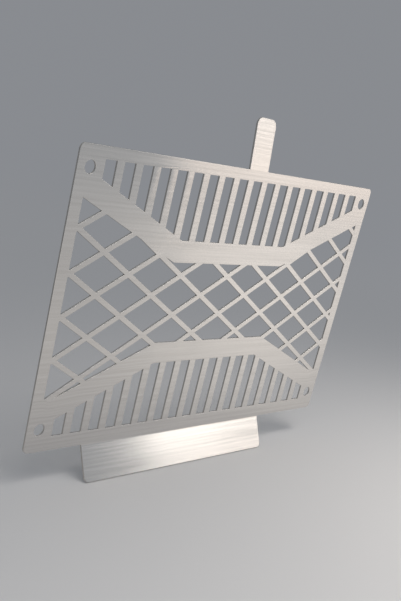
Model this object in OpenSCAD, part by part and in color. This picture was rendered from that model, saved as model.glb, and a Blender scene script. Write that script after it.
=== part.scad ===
// Guard for a motorcycle radiator: one laser-cut and folded stainless sheet.
// It stands upright with its face toward -Y. The origin is the middle of the four
// corner holes, on the back face, which seats on the radiator's frame at Y = 0.

/* [Corner holes] */
// Distance across between the corner holes
hole_spacing_x = 285; // [250:1:320]
// Upright distance between the corner holes
hole_spacing_z = 164; // [155:1:200]
// Diameter of a corner hole
hole_d = 8; // [5:0.5:9]
// Distance from a corner hole's middle to the sheet's side edge
hole_edge = 9.5; // [8:0.5:14]

/* [Sheet] */
// Thickness of the sheet
sheet_t = 1.5; // [1:0.1:3]
// Plain sheet above the upper row of slots
top_margin = 7.5; // [5:0.5:15]
// Plain sheet below the lower row of slots
bottom_margin = 10; // [6:0.5:20]
// Radius of the sheet's four outer corners
corner_r = 4; // [1:0.5:6]

/* [Slots] */
// Number of upright slots in each row
slot_count = 18; // [12:2:22]
// Width of one slot
slot_w = 9; // [5:0.5:10]
// How far the slots' outer ends lie beyond the middles of the corner holes
slot_over = 5.5; // [0:0.5:8]

/* [Bands] */
// Width of the two solid bands between the slots and the mesh
band_w = 15; // [10:0.5:20]
// Angle at which the bands climb away from the middle toward the sides
band_angle = 23; // [15:1:24]
// Level stretch of each band in the middle, measured on its mesh side
waist_w = 115; // [95:1:140]

/* [Mesh] */
// Clear height of the mesh between the level stretches of the bands
mesh_h = 56; // [40:1:60]
// Solid border left at each side of the mesh
side_border = 8.5; // [5:0.5:12]
// Width of one strand of the mesh
strand_w = 3.5; // [2:0.1:5]
// Angle of the strands above the level
strand_angle = 30; // [25:1:40]
// Upright distance between neighbouring strands
strand_rise = 27.5; // [24:0.5:35]
// Upright distance between the falling strands of the tighter half, on the right
tight_rise = 24.4; // [20:0.2:30]
// Height at which a rising and a falling strand cross on the middle line
crossing_z = -8.3; // [-12:0.1:12]

/* [Lip] */
// Width of the lip that is folded forward at the lower edge
lip_w = 185; // [120:1:230]
// How far the lip's middle lies to the left of the sheet's
lip_shift = 12.5; // [0:0.5:20]
// Length of the flat lip, from the end of its fold to its free edge
lip_l = 24.5; // [12:0.5:40]
// Angle by which the lip leaves the sheet's plane
lip_angle = 26; // [10:1:80]
// Radius of the lip's free corners
lip_corner_r = 4; // [1:0.5:8]

/* [Tab] */
// Width of the upright tab on the top edge
tab_w = 20; // [12:0.5:30]
// How far the tab's middle lies to the right of the sheet's
tab_shift = 5.5; // [0:0.5:40]
// Length of the flat tab, from the end of its fold to its free end
tab_l = 34.5; // [20:1:50]
// Angle by which the tab leans back, toward the radiator
tab_angle = 6; // [2:1:30]
// Radius of the tab's free corners
tab_corner_r = 5; // [1:0.5:6]

/* [Folds] */
// Radius inside the folds of the lip and the tab
fold_r = 2; // [1:0.5:5]

/* [Hidden] */
$fn = 48;
steel = [0.80, 0.78, 0.76];
// How far a cut runs past the faces that it cuts through
through = 1;
// How deep a folded strip is rooted in the sheet, and the steps of its arc
root = 1;
fold_steps = 8;

hole_x = hole_spacing_x / 2;
hole_z = hole_spacing_z / 2;
side_x = hole_x + hole_edge;
slot_end_z = hole_z + slot_over;
top_z = slot_end_z + top_margin;
bottom_z = -slot_end_z - bottom_margin;

// The corner holes take the places of one more slot at each end of a row
slot_pitch = hole_spacing_x / (slot_count + 1);
slots_x = hole_x - slot_pitch / 2;

// A band's two edges stay parallel round its bends
waist_x = waist_w / 2;
slot_waist_x = waist_x - band_w * tan(band_angle / 2);
mesh_z = mesh_h / 2;
band_z = mesh_z + band_w;
mesh_x = side_x - side_border;
mesh_side_z = climb(mesh_x, mesh_z, waist_x);

// The strands cover the mesh from its lowest to its highest corner
strand_l = 2 * norm([mesh_x, mesh_side_z]) + strand_rise;
strand_reach = mesh_side_z + mesh_x * tan(strand_angle);
strands_each_way = ceil(strand_reach / strand_rise);
tight_strands = ceil(strand_reach / tight_rise);

// Height at x of an edge that is level at z out to bend_x and climbs beyond it
function climb(x, z, bend_x) = z + max(0, abs(x) - bend_x) * tan(band_angle);

// Point of a fold's arc of radius r, where the strip has turned by the angle a
function fold_point(r, a) = [fold_r - r * cos(a), r * sin(a)];

module guard_sheet() {
    color(steel) {
        pierced_sheet();
        translate([-lip_shift, -sheet_t, bottom_z])
            rotate([180, 0, 0])
                folded_strip(lip_w, lip_l, lip_angle, lip_corner_r);
        translate([tab_shift, 0, top_z])
            folded_strip(tab_w, tab_l, tab_angle, tab_corner_r);
    }
}

// The flat sheet with its back face at Y = 0, cut and drilled
module pierced_sheet() {
    difference() {
        rotate([90, 0, 0])
            linear_extrude(sheet_t)
                cut_outline();
        for (x = [-hole_x, hole_x], z = [-hole_z, hole_z])
            translate([x, through, z])
                rotate([90, 0, 0])
                    cylinder(d = hole_d, h = sheet_t + 2 * through);
    }
}

module cut_outline() {
    difference() {
        rounded_plate(side_x, bottom_z, top_z, corner_r);
        slot_row();
        mirror([0, 1])
            slot_row();
        mesh_opening();
    }
}

// A plate as wide as 2 * x, from the height low to high, with round corners
module rounded_plate(x, low, high, r) {
    translate([-x, low + r])
        square([2 * x, high - low - 2 * r]);
    translate([r - x, low])
        square([2 * (x - r), high - low]);
    for (corner_x = [r - x, x - r], corner_z = [low + r, high - r])
        translate([corner_x, corner_z])
            circle(r = r);
}

// The slots above the upper band, whose lower ends follow the band's edge
module slot_row() {
    difference() {
        for (i = [1:slot_count])
            translate([i * slot_pitch - hole_x - slot_w / 2, 0])
                square([slot_w, slot_end_z]);
        polygon([
            [-slots_x, 0],
            [slots_x, 0],
            [slots_x, climb(slots_x, band_z, slot_waist_x)],
            [slot_waist_x, band_z],
            [-slot_waist_x, band_z],
            [-slots_x, climb(slots_x, band_z, slot_waist_x)]
        ]);
    }
}

// The opening between the bands, with the strands of the mesh left standing in it
module mesh_opening() {
    difference() {
        polygon([
            [-mesh_x, -mesh_side_z],
            [-waist_x, -mesh_z],
            [waist_x, -mesh_z],
            [mesh_x, -mesh_side_z],
            [mesh_x, mesh_side_z],
            [waist_x, mesh_z],
            [-waist_x, mesh_z],
            [-mesh_x, mesh_side_z]
        ]);
        for (k = [-strands_each_way:strands_each_way])
            strand(crossing_z + k * strand_rise, strand_angle);
        for (k = [-strands_each_way:1])
            strand(crossing_z + k * strand_rise, -strand_angle);
        for (k = [1:tight_strands])
            strand(crossing_z + strand_rise + k * tight_rise, -strand_angle);
    }
}

// One strand, which crosses the upright middle line at the height z
module strand(z, angle) {
    translate([0, z])
        rotate(angle)
            translate([-strand_l / 2, -strand_w / 2])
                square([strand_l, strand_w]);
}

// A strip that goes on up from an edge of the sheet and folds toward +Y. The edge
// lies along X, with the sheet's back face at Y = 0 and its front face at -sheet_t.
module folded_strip(w, l, angle, end_r) {
    intersection() {
        translate([-w / 2 - through, 0, 0])
            rotate([90, 0, 90])
                linear_extrude(w + 2 * through)
                    fold_profile(l, angle);
        translate([0, fold_r, 0])
            rotate([-angle, 0, 0])
                translate([0, fold_r, 0])
                    rotate([90, 0, 0])
                        linear_extrude(2 * (fold_r + sheet_t))
                            strip_outline(w, l, end_r);
    }
}

// The strip's section in Y and Z: its root in the sheet, the fold and the flat
module fold_profile(l, angle) {
    end = l * [sin(angle), cos(angle)];
    arc = [for (i = [0:fold_steps]) angle * i / fold_steps];
    polygon([
        [0, -root],
        for (a = arc) fold_point(fold_r, a),
        fold_point(fold_r, angle) + end,
        fold_point(fold_r + sheet_t, angle) + end,
        for (a = arc) fold_point(fold_r + sheet_t, angle - a),
        [-sheet_t, -root]
    ]);
}

// The outline of the strip's flat, from below the fold up to its two round corners
module strip_outline(w, l, end_r) {
    below = 2 * (fold_r + sheet_t);
    translate([-w / 2, -below])
        square([w, below + l - end_r]);
    translate([end_r - w / 2, 0])
        square([w - 2 * end_r, l]);
    for (x = [end_r - w / 2, w / 2 - end_r])
        translate([x, l - end_r])
            circle(r = end_r);
}

guard_sheet();
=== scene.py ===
"""Looks of a motorcycle radiator guard: one laser-cut, folded and brushed stainless sheet.

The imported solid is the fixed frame. The sheet that is shown is worked out from it: its
cut edges are rounded, its faces are brushed along X, and its cut walls keep the rougher
finish that the laser leaves. Lengths are in metres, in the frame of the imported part.
"""

import logging
import math
from dataclasses import dataclass, field
from enum import Enum, IntEnum

import bmesh
import bpy
import numpy as np
from mathutils import Matrix, Vector


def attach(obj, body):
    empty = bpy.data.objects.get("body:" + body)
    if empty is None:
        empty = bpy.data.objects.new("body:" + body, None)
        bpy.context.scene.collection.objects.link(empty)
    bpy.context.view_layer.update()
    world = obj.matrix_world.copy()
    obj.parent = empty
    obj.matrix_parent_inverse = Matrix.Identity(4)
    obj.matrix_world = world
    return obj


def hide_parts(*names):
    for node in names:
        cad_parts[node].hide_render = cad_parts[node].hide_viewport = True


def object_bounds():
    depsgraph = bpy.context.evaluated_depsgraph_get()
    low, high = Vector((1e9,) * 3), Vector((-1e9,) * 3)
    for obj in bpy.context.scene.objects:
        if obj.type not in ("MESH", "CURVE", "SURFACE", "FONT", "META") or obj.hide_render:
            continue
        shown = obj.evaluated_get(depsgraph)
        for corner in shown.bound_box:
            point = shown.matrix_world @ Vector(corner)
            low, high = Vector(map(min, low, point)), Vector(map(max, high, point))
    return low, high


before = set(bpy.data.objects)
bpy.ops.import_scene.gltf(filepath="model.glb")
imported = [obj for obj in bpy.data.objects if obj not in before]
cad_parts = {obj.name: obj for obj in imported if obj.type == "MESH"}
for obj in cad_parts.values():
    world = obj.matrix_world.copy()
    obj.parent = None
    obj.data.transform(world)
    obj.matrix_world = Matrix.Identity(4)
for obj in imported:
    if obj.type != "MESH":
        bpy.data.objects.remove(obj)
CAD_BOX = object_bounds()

LOG = logging.getLogger("radiator_guard")
MM = 0.001

# Noise keeps mostly to between these two values
NOISE_LOW = 0.3
NOISE_HIGH = 0.7

# No vector is divided by a length below this one
TINY = 1e-20

Colour = tuple[float, float, float]
Point = tuple[float, float, float]
Pair = tuple[float, float]


class Slot(Enum):
    """The record's material slots."""

    BRUSHED_SHEET = "brushed_sheet"


class Skin(IntEnum):
    """What a face of the sheet is. The value is its place in the sheet's material slots."""

    FACE = 0
    CUT_WALL = 1


class Wiring:
    """A material's nodes while they are being wired."""

    def __init__(self, owner: bpy.types.Material | bpy.types.World) -> None:
        """Starts with an empty tree.

        Args:
            owner: The material or world whose nodes are made.
        """
        owner.use_nodes = True
        self.tree = owner.node_tree
        self.tree.nodes.clear()

    def node(
        self, kind: str, settings: dict[str, object] | None = None, **sockets: object
    ) -> bpy.types.Node:
        """Adds a node.

        Args:
            kind: The node's type, without its leading "ShaderNode".
            settings: The node's own properties.
            **sockets: Values or sockets for its inputs, by name with _ for a space, or
                by place, as in in0.

        Returns:
            The new node.
        """
        made = self.tree.nodes.new("ShaderNode" + kind)
        for name, value in (settings or {}).items():
            setattr(made, name, value)
        for name, value in sockets.items():
            by_place = name[:2] == "in" and name[2:].isdigit()
            place = int(name[2:]) if by_place else name.replace("_", " ")
            self.feed(made.inputs[place], value)
        return made

    def feed(self, socket: bpy.types.NodeSocket, value: object) -> None:
        """Links a socket to another one, or sets its value.

        Args:
            socket: The input.
            value: An output socket, a number, or the parts of a colour or vector.
        """
        if isinstance(value, bpy.types.NodeSocket):
            self.tree.links.new(socket, value)
        elif isinstance(value, tuple) and socket.type == "RGBA":
            socket.default_value = (*value, 1.0)
        else:
            socket.default_value = value

    def sum(self, first: object, second: object) -> bpy.types.NodeSocket:
        """Adds two numbers or number sockets and gives the socket with the sum."""
        return self.node("Math", {"operation": "ADD"}, in0=first, in1=second).outputs[0]

    def blend(self, share: object, first: object, second: object) -> bpy.types.NodeSocket:
        """Mixes two tones, the second by the share, and gives the socket with the result."""
        return self.node("Mix", {"data_type": "RGBA"}, in0=share, in6=first, in7=second).outputs[2]

    def spread(self, noise: bpy.types.NodeSocket, low: float, high: float) -> bpy.types.NodeSocket:
        """Spreads a noise over a range.

        Args:
            noise: The noise's socket.
            low: What the noise's usual least value becomes.
            high: What its usual greatest value becomes.

        Returns:
            The socket with the spread value.
        """
        ramp = self.node(
            "MapRange", {"clamp": True},
            Value=noise, From_Min=NOISE_LOW, From_Max=NOISE_HIGH, To_Min=low, To_Max=high,
        )
        return ramp.outputs[0]

    def step(self, value: bpy.types.NodeSocket, start: float, end: float) -> bpy.types.NodeSocket:
        """Climbs smoothly from 0 at the start to 1 at the end.

        Args:
            value: The socket with the value.
            start: Where the climb starts.
            end: Where it ends, which may be below the start.

        Returns:
            The socket with the height reached.
        """
        ramp = self.node(
            "MapRange", {"interpolation_type": "SMOOTHSTEP"},
            Value=value, From_Min=start, From_Max=end,
        )
        return ramp.outputs[0]

    def vector(self, operation: str, **sockets: object) -> bpy.types.NodeSocket:
        """Works on vectors and gives the socket with the result, which is a number for LENGTH."""
        made = self.node("VectorMath", {"operation": operation}, **sockets)
        return made.outputs["Value" if operation == "LENGTH" else "Vector"]


@dataclass(frozen=True)
class Streaks:
    """Noise on the grain's map.

    Attributes:
        scale: Waves a metre across and along the grain.
        detail: Octaves of finer noise on top.
        roughening: How much it adds to the roughness at most, and takes from it.
    """

    scale: Point
    detail: float
    roughening: float

    def noise(self, w: Wiring, grain: bpy.types.NodeSocket) -> bpy.types.NodeSocket:
        """Makes the noise.

        Args:
            w: The material's wiring.
            grain: The map's socket.

        Returns:
            The noise's socket.
        """
        place = w.node("Mapping", in0=grain, Scale=self.scale).outputs[0]
        made = w.node(
            "TexNoise", {"noise_dimensions": "2D"}, Vector=place, Scale=1.0, Detail=self.detail
        )
        return made.outputs[0]


@dataclass(frozen=True)
class BrushedFace:
    """The faces of the sheet: bare stainless, brushed along X.

    The map "grain" runs across the grain in U and along it in V, both in metres, and goes
    on round the folds as on the flat blank.

    Attributes:
        dark: The tone of the dull streaks.
        light: The tone of the bright streaks.
        roughness: The mean roughness.
        anisotropy: How much the grain draws out what the steel mirrors.
        fine: The finest scratches, which are too fine to be told apart.
        broad: The streaks that can be seen.
        clouds: The slow change over the sheet.
        waviness: Depth of the sheet's slow waves.
        streak_depth: Depth of the streaks.
    """

    dark: Colour = (0.67, 0.655, 0.63)
    light: Colour = (0.74, 0.725, 0.70)
    roughness: float = 0.18
    anisotropy: float = 0.93
    fine: Streaks = Streaks(scale=(2400.0, 40.0, 1.0), detail=3.0, roughening=0.015)
    broad: Streaks = Streaks(scale=(620.0, 8.0, 1.0), detail=4.0, roughening=0.01)
    clouds: Streaks = Streaks(scale=(22.0, 12.0, 1.0), detail=2.0, roughening=0.015)
    waviness: float = 0.02 * MM
    streak_depth: float = 0.0004 * MM

    def material(self, name: str) -> bpy.types.Material:
        """Makes the finish.

        The roughness is the mean one plus the share of each noise.

        Args:
            name: The material's name.

        Returns:
            The material.
        """
        made = bpy.data.materials.new(name)
        w = Wiring(made)
        grain = w.node("UVMap", {"uv_map": "grain"}).outputs["UV"]
        layers = (self.fine, self.broad, self.clouds)
        fine, broad, cloud = (layer.noise(w, grain) for layer in layers)

        tone = w.blend(w.spread(broad, 0.0, 1.0), self.dark, self.light)
        rough = self.roughness
        for layer, noise in zip(layers, (fine, broad, cloud)):
            rough = w.sum(rough, w.spread(noise, -layer.roughening, layer.roughening))

        wave = w.node("Bump", Strength=1.0, Distance=self.waviness, Height=cloud).outputs[0]
        scratch = w.node(
            "Bump", Strength=1.0, Distance=self.streak_depth, Height=broad, Normal=wave
        ).outputs[0]
        tangent = w.node("Tangent", {"direction_type": "UV_MAP", "uv_map": "grain"}).outputs[0]
        shader = w.node(
            "BsdfPrincipled", Metallic=1.0, Base_Color=tone, Roughness=rough,
            Anisotropic=self.anisotropy, Normal=scratch, Tangent=tangent,
        )
        w.node("OutputMaterial", Surface=shader.outputs[0])
        return made


@dataclass(frozen=True)
class LaserCut:
    """The walls of the cuts: duller steel with fine striations across the thickness.

    Attributes:
        dark: The tone of the striations' valleys.
        light: The tone of their ridges.
        roughness: The mean roughness.
        smoother: How much a valley takes from the roughness.
        rougher: How much a ridge adds to it.
        striations: Waves a metre along X, Y and Z.
        detail: Octaves of finer noise on top.
        striation_depth: Depth of the striations.
    """

    dark: Colour = (0.46, 0.43, 0.39)
    light: Colour = (0.62, 0.60, 0.56)
    roughness: float = 0.42
    smoother: float = 0.06
    rougher: float = 0.08
    striations: Point = (2600.0, 160.0, 2600.0)
    detail: float = 2.0
    striation_depth: float = 0.01 * MM

    def material(self, name: str) -> bpy.types.Material:
        """Makes the finish.

        Args:
            name: The material's name.

        Returns:
            The material.
        """
        made = bpy.data.materials.new(name)
        w = Wiring(made)
        here = w.node("TexCoord").outputs["Object"]
        place = w.node("Mapping", in0=here, Scale=self.striations).outputs[0]
        noise = w.node("TexNoise", Vector=place, Scale=1.0, Detail=self.detail).outputs[0]
        bump = w.node("Bump", Strength=1.0, Distance=self.striation_depth, Height=noise)
        shader = w.node(
            "BsdfPrincipled", Metallic=1.0, Normal=bump.outputs[0],
            Base_Color=w.blend(w.spread(noise, 0.0, 1.0), self.dark, self.light),
            Roughness=w.sum(self.roughness, w.spread(noise, -self.smoother, self.rougher)),
        )
        w.node("OutputMaterial", Surface=shader.outputs[0])
        return made


@dataclass(frozen=True)
class Fold:
    """A fold along X at an edge of the sheet. The strip beyond it turns toward Y * side.

    Attributes:
        edge_z: Height of the edge at which the fold starts.
        angle: Angle by which the strip turns out of the sheet's plane.
        side: 1 where the strip turns back, toward +Y, and -1 where it turns forward.
        up: 1 for a strip above the sheet and -1 for one below it.
    """

    edge_z: float
    angle: float
    side: int
    up: int

    def turned(
        self, points: np.ndarray, sheet_t: float, radius: float
    ) -> tuple[np.ndarray, np.ndarray]:
        """How far round the fold points lie, and how far up the flat blank.

        The fold's centre is at one inner radius from the face toward which the strip
        turns. A point's turn is its angle round that centre, held between 0 and the
        fold's angle. On the blank it lies the arc at the middle of the thickness, plus
        its distance along the strip's flat, beyond the edge.

        Args:
            points: Places, one a row.
            sheet_t: The sheet's thickness.
            radius: The fold's inner radius.

        Returns:
            Each point's turn, and its distance beyond the edge on the blank.
        """
        face_y = 0.0 if self.side > 0 else -sheet_t
        out = (points[:, 1] - face_y) * self.side - radius
        beyond = (points[:, 2] - self.edge_z) * self.up
        turn = np.where(beyond > 0.0, np.clip(np.arctan2(beyond, -out), 0.0, self.angle), 0.0)
        flat = out * math.sin(self.angle) + beyond * math.cos(self.angle)
        past_fold = np.where(turn >= self.angle, np.maximum(flat, 0.0), 0.0)
        along = turn * (radius + sheet_t / 2) + past_fold
        return turn, np.where(beyond > 0.0, along, beyond)


@dataclass
class FoldedSheet:
    """The guard's sheet, with rounded cut edges and a map along its grain.

    Attributes:
        node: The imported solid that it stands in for.
        sheet_t: The sheet's thickness.
        fold_r: The folds' inner radius.
        lip: The fold of the lip at the foot.
        tab: The fold of the tab on top.
        edge_r: Radius of the rounded cut edges.
        weld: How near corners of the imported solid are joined.
        wall_under: A triangle is a cut wall where the cosine between its direction and
            the sheet's own, either way, is below this.
        mitre_cut: A corner's mitre leaves out a direction in which its walls count for
            less than this share of the strongest one.
        smooth_under: The angle below which neighbouring walls are shaded as one curve.
        face: The finish of the faces.
        wall: The finish of the cut walls.
    """

    node: str = "guard_sheet"
    sheet_t: float = 1.5 * MM
    fold_r: float = 2.0 * MM
    lip: Fold = Fold(edge_z=-97.5 * MM, angle=math.radians(26.0), side=-1, up=-1)
    tab: Fold = Fold(edge_z=95.0 * MM, angle=math.radians(6.0), side=1, up=1)
    edge_r: float = 0.22 * MM
    weld: float = 0.002 * MM
    wall_under: float = 0.5
    mitre_cut: float = 0.001
    smooth_under: float = math.radians(20.0)
    face: BrushedFace = field(default_factory=BrushedFace)
    wall: LaserCut = field(default_factory=LaserCut)

    def build(self) -> bpy.types.Object:
        """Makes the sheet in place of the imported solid.

        Returns:
            The sheet's object.
        """
        points, tris = self._welded_copy()
        front, blank = self._sheet_directions(points)
        mesh = self._rounded(points, tris, front, blank)
        mesh.materials.append(self.face.material("brushed_face"))
        mesh.materials.append(self.wall.material("laser_cut"))
        sheet = bpy.data.objects.new("brushed_guard_sheet", mesh)
        bpy.context.scene.collection.objects.link(sheet)
        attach(sheet, "root")
        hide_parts(self.node)
        return sheet

    def _welded_copy(self) -> tuple[np.ndarray, np.ndarray]:
        """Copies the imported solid's triangles and welds them.

        Returns:
            The corners, one a row, and the three corners of each triangle.
        """
        work = bmesh.new()
        work.from_mesh(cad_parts[self.node].data)
        bmesh.ops.remove_doubles(work, verts=work.verts, dist=self.weld)
        bmesh.ops.triangulate(work, faces=work.faces)
        welded = bpy.data.meshes.new("welded")
        work.to_mesh(welded)
        work.free()
        points = np.zeros(len(welded.vertices) * 3)
        welded.vertices.foreach_get("co", points)
        tris = np.zeros(len(welded.polygons) * 3, np.int64)
        welded.polygons.foreach_get("vertices", tris)
        bpy.data.meshes.remove(welded)
        return points.reshape(-1, 3), tris.reshape(-1, 3)

    def _sheet_directions(self, points: np.ndarray) -> tuple[np.ndarray, np.ndarray]:
        """The way the sheet's front faces at each point, and the height on the blank.

        The front faces -Y, and turns up as the sheet goes round either fold.

        Args:
            points: Places, one a row.

        Returns:
            Unit directions, one a row, and heights.
        """
        lip_turn, lip_along = self.lip.turned(points, self.sheet_t, self.fold_r)
        tab_turn, tab_along = self.tab.turned(points, self.sheet_t, self.fold_r)
        turn = lip_turn + tab_turn
        front = np.stack([np.zeros_like(turn), -np.cos(turn), np.sin(turn)], axis=1)
        blank = points[:, 2].copy()
        below, above = blank < self.lip.edge_z, blank > self.tab.edge_z
        blank[below] = self.lip.edge_z - lip_along[below]
        blank[above] = self.tab.edge_z + tab_along[above]
        return front, blank

    def _rounded(
        self, points: np.ndarray, tris: np.ndarray, front: np.ndarray, blank: np.ndarray
    ) -> bpy.types.Mesh:
        """Rounds every edge between a face of the sheet and a cut wall.

        Each corner of the solid becomes three: one drawn back along the face, one down
        the wall, and one between them on a quarter circle. With m the mitre of the walls
        that meet there and n the face's own direction, they are at p - r m, at p - r n,
        and at p - r (m + n) (1 - 1 / sqrt 2). Two rings of quads join them.

        Args:
            points: The solid's corners.
            tris: The three corners of each triangle.
            front: The way the sheet's front faces at each corner.
            blank: Each corner's height on the flat blank.

        Returns:
            The mesh, with its normals and its grain map.
        """
        count = len(points)
        a, b, c = (points[tris[:, k]] for k in range(3))
        normal = unit(np.cross(b - a, c - a))
        facing = np.einsum("ij,ij->i", normal, unit(front[tris].mean(axis=1)))
        is_wall = np.abs(facing) < self.wall_under

        side = np.zeros(count)
        np.add.at(side, tris[~is_wall].ravel(), np.repeat(np.sign(facing[~is_wall]), 3))
        skin = front * np.sign(side)[:, None]
        mitre, wall_normal = self._walls_at(points, tris[is_wall], normal[is_wall], skin)

        face_ring = points - self.edge_r * mitre
        wall_ring = points - self.edge_r * skin
        mid_ring = points - self.edge_r * (1 - math.sqrt(0.5)) * (mitre + skin)
        corners = np.concatenate([face_ring, mid_ring, wall_ring])

        edge_from, edge_to, edge_normal = self._cut_edges(tris, is_wall, normal)
        from_normal = self._smoothed(wall_normal[edge_from], edge_normal)
        to_normal = self._smoothed(wall_normal[edge_to], edge_normal)
        upper = np.stack([edge_to, edge_from, edge_from + count, edge_to + count], axis=1)
        lower = upper + count
        from_middle = unit(skin[edge_from] + from_normal)
        to_middle = unit(skin[edge_to] + to_normal)
        upper_normals = np.stack([skin[edge_to], skin[edge_from], from_middle, to_middle], axis=1)
        lower_normals = np.stack([to_middle, from_middle, from_normal, to_normal], axis=1)

        face_tris = tris[~is_wall]
        wall_tris = tris[is_wall]
        wall_loops = self._smoothed(wall_normal[wall_tris], normal[is_wall][:, None, :])
        loops = np.concatenate([
            face_tris.ravel(), (wall_tris + 2 * count).ravel(), upper.ravel(), lower.ravel()
        ])
        normals = np.concatenate([
            skin[face_tris].reshape(-1, 3), wall_loops.reshape(-1, 3),
            upper_normals.reshape(-1, 3), lower_normals.reshape(-1, 3),
        ])
        sizes = np.concatenate([
            np.full(len(face_tris) + len(wall_tris), 3), np.full(2 * len(upper), 4)
        ])
        skins = np.concatenate([
            np.full(len(face_tris), Skin.FACE), np.full(len(wall_tris), Skin.CUT_WALL),
            np.full(2 * len(upper), Skin.FACE),
        ])
        grain = np.tile(np.stack([blank, points[:, 0]], axis=1), (3, 1))
        return self._mesh(corners, loops, sizes, skins, normals, grain)

    def _walls_at(
        self, points: np.ndarray, wall_tris: np.ndarray, normal: np.ndarray, skin: np.ndarray
    ) -> tuple[np.ndarray, np.ndarray]:
        """The walls that meet at each corner.

        The mitre m lies in the face and has m . w = 1 for the direction w of each wall
        there, so a cut is drawn back by the same amount on both sides of a corner. Each
        wall triangle counts by its angle at the corner.

        Args:
            points: The solid's corners.
            wall_tris: The walls' triangles.
            normal: Each wall triangle's direction.
            skin: The face's direction at each corner.

        Returns:
            The mitre and the walls' mean direction at each corner.
        """
        where = wall_tris.ravel()
        each = np.repeat(normal, 3, axis=0)
        weight = corner_angles(points, wall_tris).ravel()[:, None]
        pairs = np.zeros((len(points), 3, 3))
        np.add.at(pairs, where, each[:, :, None] * each[:, None, :] * weight[:, :, None])
        sums = np.zeros((len(points), 3))
        np.add.at(sums, where, each * weight)
        flat = skin[:, :, None] * skin[:, None, :]
        solved = np.linalg.pinv(pairs + flat, rcond=self.mitre_cut, hermitian=True)
        return np.einsum("nij,nj->ni", solved, sums), unit(sums)

    def _smoothed(self, shared: np.ndarray, own: np.ndarray) -> np.ndarray:
        """The shared direction on a curved wall, or the wall's own at a sharp corner.

        Args:
            shared: The walls' mean direction at a corner.
            own: One wall's direction, which broadcasts to the same shape.

        Returns:
            The direction to shade with.
        """
        near = (shared * own).sum(axis=-1, keepdims=True) > math.cos(self.smooth_under)
        return np.where(near, shared, np.broadcast_to(own, shared.shape))

    @staticmethod
    def _cut_edges(
        tris: np.ndarray, is_wall: np.ndarray, normal: np.ndarray
    ) -> tuple[np.ndarray, np.ndarray, np.ndarray]:
        """Finds the edges between a face and a wall.

        Args:
            tris: The three corners of each triangle.
            is_wall: Whether each triangle is a wall's.
            normal: Each triangle's direction.

        Returns:
            Each edge's two corners in the order of its face's triangle, and the
            direction of its wall.
        """
        heads = tris.ravel()
        tails = np.roll(tris, -1, axis=1).ravel()
        owner = np.repeat(np.arange(len(tris)), 3)
        span = int(tris.max()) + 1
        key, back = heads * span + tails, tails * span + heads
        order = np.argsort(key)
        twin = order[np.searchsorted(key[order], back)]
        cut = ~is_wall[owner] & is_wall[owner[twin]]
        return heads[cut], tails[cut], normal[owner[twin][cut]]

    @staticmethod
    def _mesh(
        corners: np.ndarray, loops: np.ndarray, sizes: np.ndarray, skins: np.ndarray,
        normals: np.ndarray, grain: np.ndarray,
    ) -> bpy.types.Mesh:
        """Puts whole arrays into a mesh, without the corners that no face uses.

        Args:
            corners: Places, one a row.
            loops: The corners of all faces, one after the other.
            sizes: How many corners each face has.
            skins: Each face's place in the material slots.
            normals: The direction to shade with at each corner of each face.
            grain: The grain map's U and V at each corner.

        Returns:
            The mesh.
        """
        used, loops = np.unique(loops, return_inverse=True)
        mesh = bpy.data.meshes.new("brushed_guard_sheet")
        mesh.vertices.add(len(used))
        mesh.vertices.foreach_set("co", corners[used].astype(np.float32).ravel())
        mesh.loops.add(len(loops))
        mesh.loops.foreach_set("vertex_index", loops.astype(np.int32))
        mesh.polygons.add(len(sizes))
        mesh.polygons.foreach_set("loop_start", (np.cumsum(sizes) - sizes).astype(np.int32))
        mesh.polygons.foreach_set("material_index", skins.astype(np.int32))
        mesh.update(calc_edges=True)
        mesh.shade_smooth()
        layer = mesh.uv_layers.new(name="grain")
        layer.uv.foreach_set("vector", grain[used][loops].astype(np.float32).ravel())
        mesh.normals_split_custom_set(normals.tolist())
        return mesh


def unit(vectors: np.ndarray) -> np.ndarray:
    """Scales vectors along the last axis to length 1."""
    return vectors / np.maximum(np.linalg.norm(vectors, axis=-1, keepdims=True), TINY)


def corner_angles(points: np.ndarray, tris: np.ndarray) -> np.ndarray:
    """The angle of each triangle at each of its corners.

    Args:
        points: The corners.
        tris: The three corners of each triangle.

    Returns:
        Three angles a row.
    """
    here = points[tris]
    onward = unit(np.roll(here, -1, axis=1) - here)
    backward = unit(np.roll(here, 1, axis=1) - here)
    return np.arccos(np.clip((onward * backward).sum(axis=2), -1.0, 1.0))


@dataclass(frozen=True)
class SoftBox:
    """A rectangular studio lamp.

    Attributes:
        name: The lamp's name.
        place: Its middle.
        target: The point that it faces.
        size: Its width and height.
        brightness: Its power over its area and pi.
        colour: Its colour.
        turn: How far it is turned about the way it faces.
        spread: The angle that its light fills. A narrower one gathers the same power.
    """

    name: str
    place: Point
    target: Point
    size: Pair
    brightness: float
    colour: Colour
    turn: float = 0.0
    spread: float = math.pi

    def hang(self) -> None:
        """Puts the lamp into the scene. Its power is its brightness times its area times pi."""
        light = bpy.data.lights.new(self.name, "AREA")
        light.shape = "RECTANGLE"
        light.size, light.size_y = self.size
        light.energy = self.brightness * self.size[0] * self.size[1] * math.pi
        light.color = self.colour
        light.spread = self.spread
        lamp = bpy.data.objects.new(self.name, light)
        aim = (Vector(self.target) - Vector(self.place)).to_track_quat("-Z", "Y").to_matrix()
        turned = aim.to_4x4() @ Matrix.Rotation(self.turn, 4, "Z")
        lamp.matrix_world = Matrix.Translation(self.place) @ turned
        lamp.visible_camera = False
        bpy.context.scene.collection.objects.link(lamp)


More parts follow.
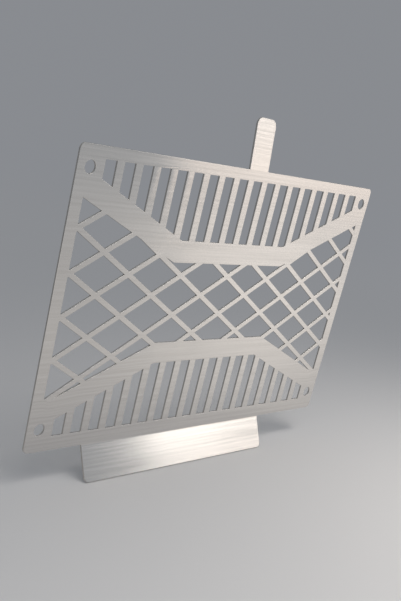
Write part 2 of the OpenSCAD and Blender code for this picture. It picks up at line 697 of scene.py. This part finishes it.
@dataclass(frozen=True)
class Pool:
    """A soft pool of light painted on the floor as glow, which the brushed steel mirrors.

    Attributes:
        middle: Its middle on the floor.
        core: How far from the middle it is still full, across and along.
        reach: How far from the middle it is gone, across and along.
        tone: Its tone where it is full.
        turn: How far across and along are turned about Z, from X and Y.
    """

    middle: Pair
    core: Pair
    reach: Pair
    tone: Colour
    turn: float = 0.0

    def glow(self, w: Wiring, place: bpy.types.NodeSocket) -> bpy.types.NodeSocket:
        """The pool's light: its tone times a smooth step across and one along.

        Args:
            w: The floor's wiring.
            place: The socket with the place on the floor.

        Returns:
            The socket with the light's tone.
        """
        own = w.node(
            "Mapping", {"vector_type": "TEXTURE"},
            Vector=place, Location=(*self.middle, 0.0), Rotation=(0.0, 0.0, self.turn),
        )
        off = w.node("SeparateXYZ", in0=w.vector("ABSOLUTE", in0=own.outputs[0])).outputs
        across, along = (w.step(off[k], self.reach[k], self.core[k]) for k in range(2))
        share = w.node("Math", {"operation": "MULTIPLY"}, in0=across, in1=along).outputs[0]
        return w.vector("SCALE", in0=self.tone, Scale=share)


@dataclass
class Studio:
    """A plain pale floor that runs out into a soft sky, with soft lamps.

    The horizon is paler in front of the guard than behind it, so that the steel mirrors a
    paler sky than the one it stands against.

    Attributes:
        floor_z: The floor's height.
        floor_r: The floor's radius.
        rim_points: How many points its rim has.
        floor_tone: The matt floor's colour.
        floor_glow: The floor's tone under the sky's light, painted on it as glow that the steel
            mirrors.
        fade_from: Where the floor starts to fade into the horizon.
        fade_to: Where it has done so.
        front: The horizon's tone in front.
        back: The horizon's tone behind.
        front_y: Y of the direction in which the horizon starts to change from the front's
            tone.
        back_y: Y of the direction in which it has reached the back's tone.
        zenith: The sky's tone overhead.
        rise_from: Z of the direction in which the sky starts to change from the horizon's
            tone.
        rise_to: Z of the direction in which it has reached the zenith's tone.
        lamps: Two lamps to the front right, one above the other, and three that hang over
            the floor and face it.
        pools: The pools of light painted on the floor as glow, which the steel mirrors.
    """

    floor_z: float
    floor_r: float = 8.0
    rim_points: int = 96
    floor_tone: Colour = (0.70, 0.70, 0.70)
    floor_glow: Colour = (0.258, 0.265, 0.283)
    fade_from: float = 0.5
    fade_to: float = 1.9
    front: Colour = (0.38, 0.395, 0.42)
    back: Colour = (0.25, 0.26, 0.28)
    front_y: float = -0.8
    back_y: float = 0.6
    zenith: Colour = (0.36, 0.375, 0.40)
    rise_from: float = 0.1
    rise_to: float = 1.0
    lamps: tuple[SoftBox, ...] = (
        SoftBox(
            name="warm_box", place=(2.82, -2.06, 0.17), target=(0.20, 0.26, 0.17),
            size=(1.08, 0.58), brightness=1.15, colour=(1.0, 0.83, 0.71),
        ),
        SoftBox(
            name="white_box", place=(2.82, -2.06, 1.40), target=(0.20, 0.26, 1.40),
            size=(1.08, 1.24), brightness=2.4, colour=(1.0, 0.94, 0.88),
        ),
        SoftBox(
            name="left_floor_box", place=(-0.30, -0.62, 0.95), target=(-0.30, -0.62, -0.12),
            size=(0.90, 0.70), brightness=0.75, colour=(1.0, 0.96, 0.92),
            spread=math.radians(80.0),
        ),
        SoftBox(
            name="right_floor_box", place=(0.60, -0.85, 0.85), target=(0.60, -0.85, -0.12),
            size=(1.60, 0.90), brightness=0.70, colour=(1.0, 0.93, 0.86),
            turn=math.radians(-25.0), spread=math.radians(75.0),
        ),
        SoftBox(
            name="foot_box", place=(0.38, -0.33, 0.50), target=(0.38, -0.33, -0.12),
            size=(0.60, 0.24), brightness=0.70, colour=(1.0, 0.93, 0.86),
            turn=math.radians(-39.0), spread=math.radians(70.0),
        ),
    )
    pools: tuple[Pool, ...] = (
        Pool(
            middle=(-0.45, -0.75), core=(0.25, 0.20), reach=(0.80, 1.00),
            tone=(0.500, 0.465, 0.430),
        ),
        Pool(
            middle=(0.40, -0.95), core=(0.24, 0.00), reach=(0.90, 1.00),
            tone=(0.250, 0.233, 0.215), turn=math.radians(-10.0),
        ),
        Pool(
            middle=(0.42, -0.28), core=(0.10, 0.00), reach=(0.60, 0.30),
            tone=(0.500, 0.465, 0.430), turn=math.radians(-35.0),
        ),
        Pool(
            middle=(1.35, -0.86), core=(0.50, 0.05), reach=(1.30, 0.50),
            tone=(0.500, 0.465, 0.430), turn=math.radians(-34.0),
        ),
    )

    def build(self) -> None:
        """Makes the sky, the floor and the lamps."""
        bpy.context.scene.view_settings.view_transform = "Standard"
        self._sky()
        self._floor()
        for lamp in self.lamps:
            lamp.hang()

    def _sky(self) -> None:
        """Makes the sky, which turns from the horizon's tone to the zenith's with height."""
        sky = bpy.data.worlds.new("soft_sky")
        bpy.context.scene.world = sky
        w = Wiring(sky)
        toward = w.node("TexCoord").outputs["Generated"]
        height = w.node("SeparateXYZ", in0=toward).outputs["Z"]
        rise = w.step(height, self.rise_from, self.rise_to)
        tone = w.blend(rise, self._horizon(w, toward), self.zenith)
        light = w.node("Background", Color=tone, Strength=1.0)
        w.node("OutputWorld", Surface=light.outputs[0])

    def _horizon(self, w: Wiring, toward: bpy.types.NodeSocket) -> bpy.types.NodeSocket:
        """Makes the horizon's tone, which is paler in front of the guard than behind it.

        Args:
            w: The wiring of the world or material.
            toward: The socket with the direction from the middle.

        Returns:
            The socket with the tone.
        """
        depth = w.node("SeparateXYZ", in0=toward).outputs["Y"]
        return w.blend(w.step(depth, self.front_y, self.back_y), self.front, self.back)

    def _floor(self) -> None:
        """Makes the floor as a disc whose rim points lie at equal steps round a circle."""
        turn = np.linspace(0.0, 2 * math.pi, self.rim_points, endpoint=False)
        rim = np.stack([np.cos(turn), np.sin(turn), np.zeros_like(turn)], axis=1) * self.floor_r
        rim[:, 2] = self.floor_z
        mesh = bpy.data.meshes.new("pale_floor")
        mesh.from_pydata(rim.tolist(), [], [list(range(len(rim)))])
        mesh.materials.append(self._floor_finish())
        floor = bpy.data.objects.new("pale_floor", mesh)
        bpy.context.scene.collection.objects.link(floor)

    def _floor_finish(self) -> bpy.types.Material:
        """Makes the floor: matt near the guard, and further out as bright as the horizon.

        The steel mirrors a floor that glows by itself, with the sky's light on it and the
        pools. Mirrored lamp light would be sampled, and its noise shows on narrow strands.
        The glowing floor isn't sampled as a lamp either.

        Returns:
            The material.
        """
        made = bpy.data.materials.new("pale_floor")
        made.cycles.emission_sampling = "NONE"
        w = Wiring(made)
        place = w.vector("MULTIPLY", in0=w.node("TexCoord").outputs["Object"], in1=(1.0, 1.0, 0.0))
        fade = w.step(w.vector("LENGTH", in0=place), self.fade_from, self.fade_to)
        horizon = self._horizon(w, w.vector("NORMALIZE", in0=place))
        matt = w.node("BsdfDiffuse", Color=self.floor_tone)
        far = w.node("Emission", Color=horizon, Strength=1.0)
        plain = w.node("MixShader", in0=fade, in1=matt.outputs[0], in2=far.outputs[0])

        tone = w.blend(fade, self.floor_glow, horizon)
        for pool in self.pools:
            tone = w.vector("ADD", in0=tone, in1=pool.glow(w, place))
        mirrored = w.node("Emission", Color=tone, Strength=1.0)
        in_steel = w.node("LightPath").outputs["Is Glossy Ray"]
        both = w.node("MixShader", in0=in_steel, in1=plain.outputs[0], in2=mirrored.outputs[0])
        w.node("OutputMaterial", Surface=both.outputs[0])
        return made


@dataclass(frozen=True)
class PhotoCamera:
    """The photograph's viewpoint, with a longer lens so that the guard fills the picture.

    Attributes:
        place: Where the camera stands.
        right: The direction that is to the right in the picture.
        up: The direction that is up in the picture.
        lens: The focal length in millimetres.
        sensor: The sensor's longer side in millimetres.
        shift: How far the picture is shifted, as shares of its longer side.
        clip: The nearest and the farthest distance that it shows.
    """

    place: Point = (-0.46048, -0.37759, 0.13063)
    right: Point = (0.68959, -0.68848, 0.22463)
    up: Point = (0.06131, 0.36456, 0.92916)
    lens: float = 50.9
    sensor: float = 36.0
    shift: Pair = (0.034, 0.106)
    clip: Pair = (0.01, 50.0)

    def set_up(self) -> None:
        """Makes the camera and gives it to the scene."""
        data = bpy.data.cameras.new("photo_camera")
        data.sensor_width = self.sensor
        data.lens = self.lens
        data.shift_x, data.shift_y = self.shift
        data.clip_start, data.clip_end = self.clip
        camera = bpy.data.objects.new("photo_camera", data)
        right = Vector(self.right).normalized()
        back = right.cross(Vector(self.up)).normalized()
        turned = Matrix((right, back.cross(right), back)).transposed()
        camera.matrix_world = Matrix.Translation(self.place) @ turned.to_4x4()
        bpy.context.scene.collection.objects.link(camera)
        bpy.context.scene.camera = camera


def main() -> None:
    """Builds the camera, the studio and the sheet, and reports the sheet's faces."""
    logging.basicConfig(level=logging.INFO, format="%(message)s")
    PhotoCamera().set_up()
    Studio(floor_z=CAD_BOX[0].z).build()
    sheet = FoldedSheet().build()
    LOG.info("%s: %d faces", sheet.name, len(sheet.data.polygons))


if __name__ == "__main__":
    main()
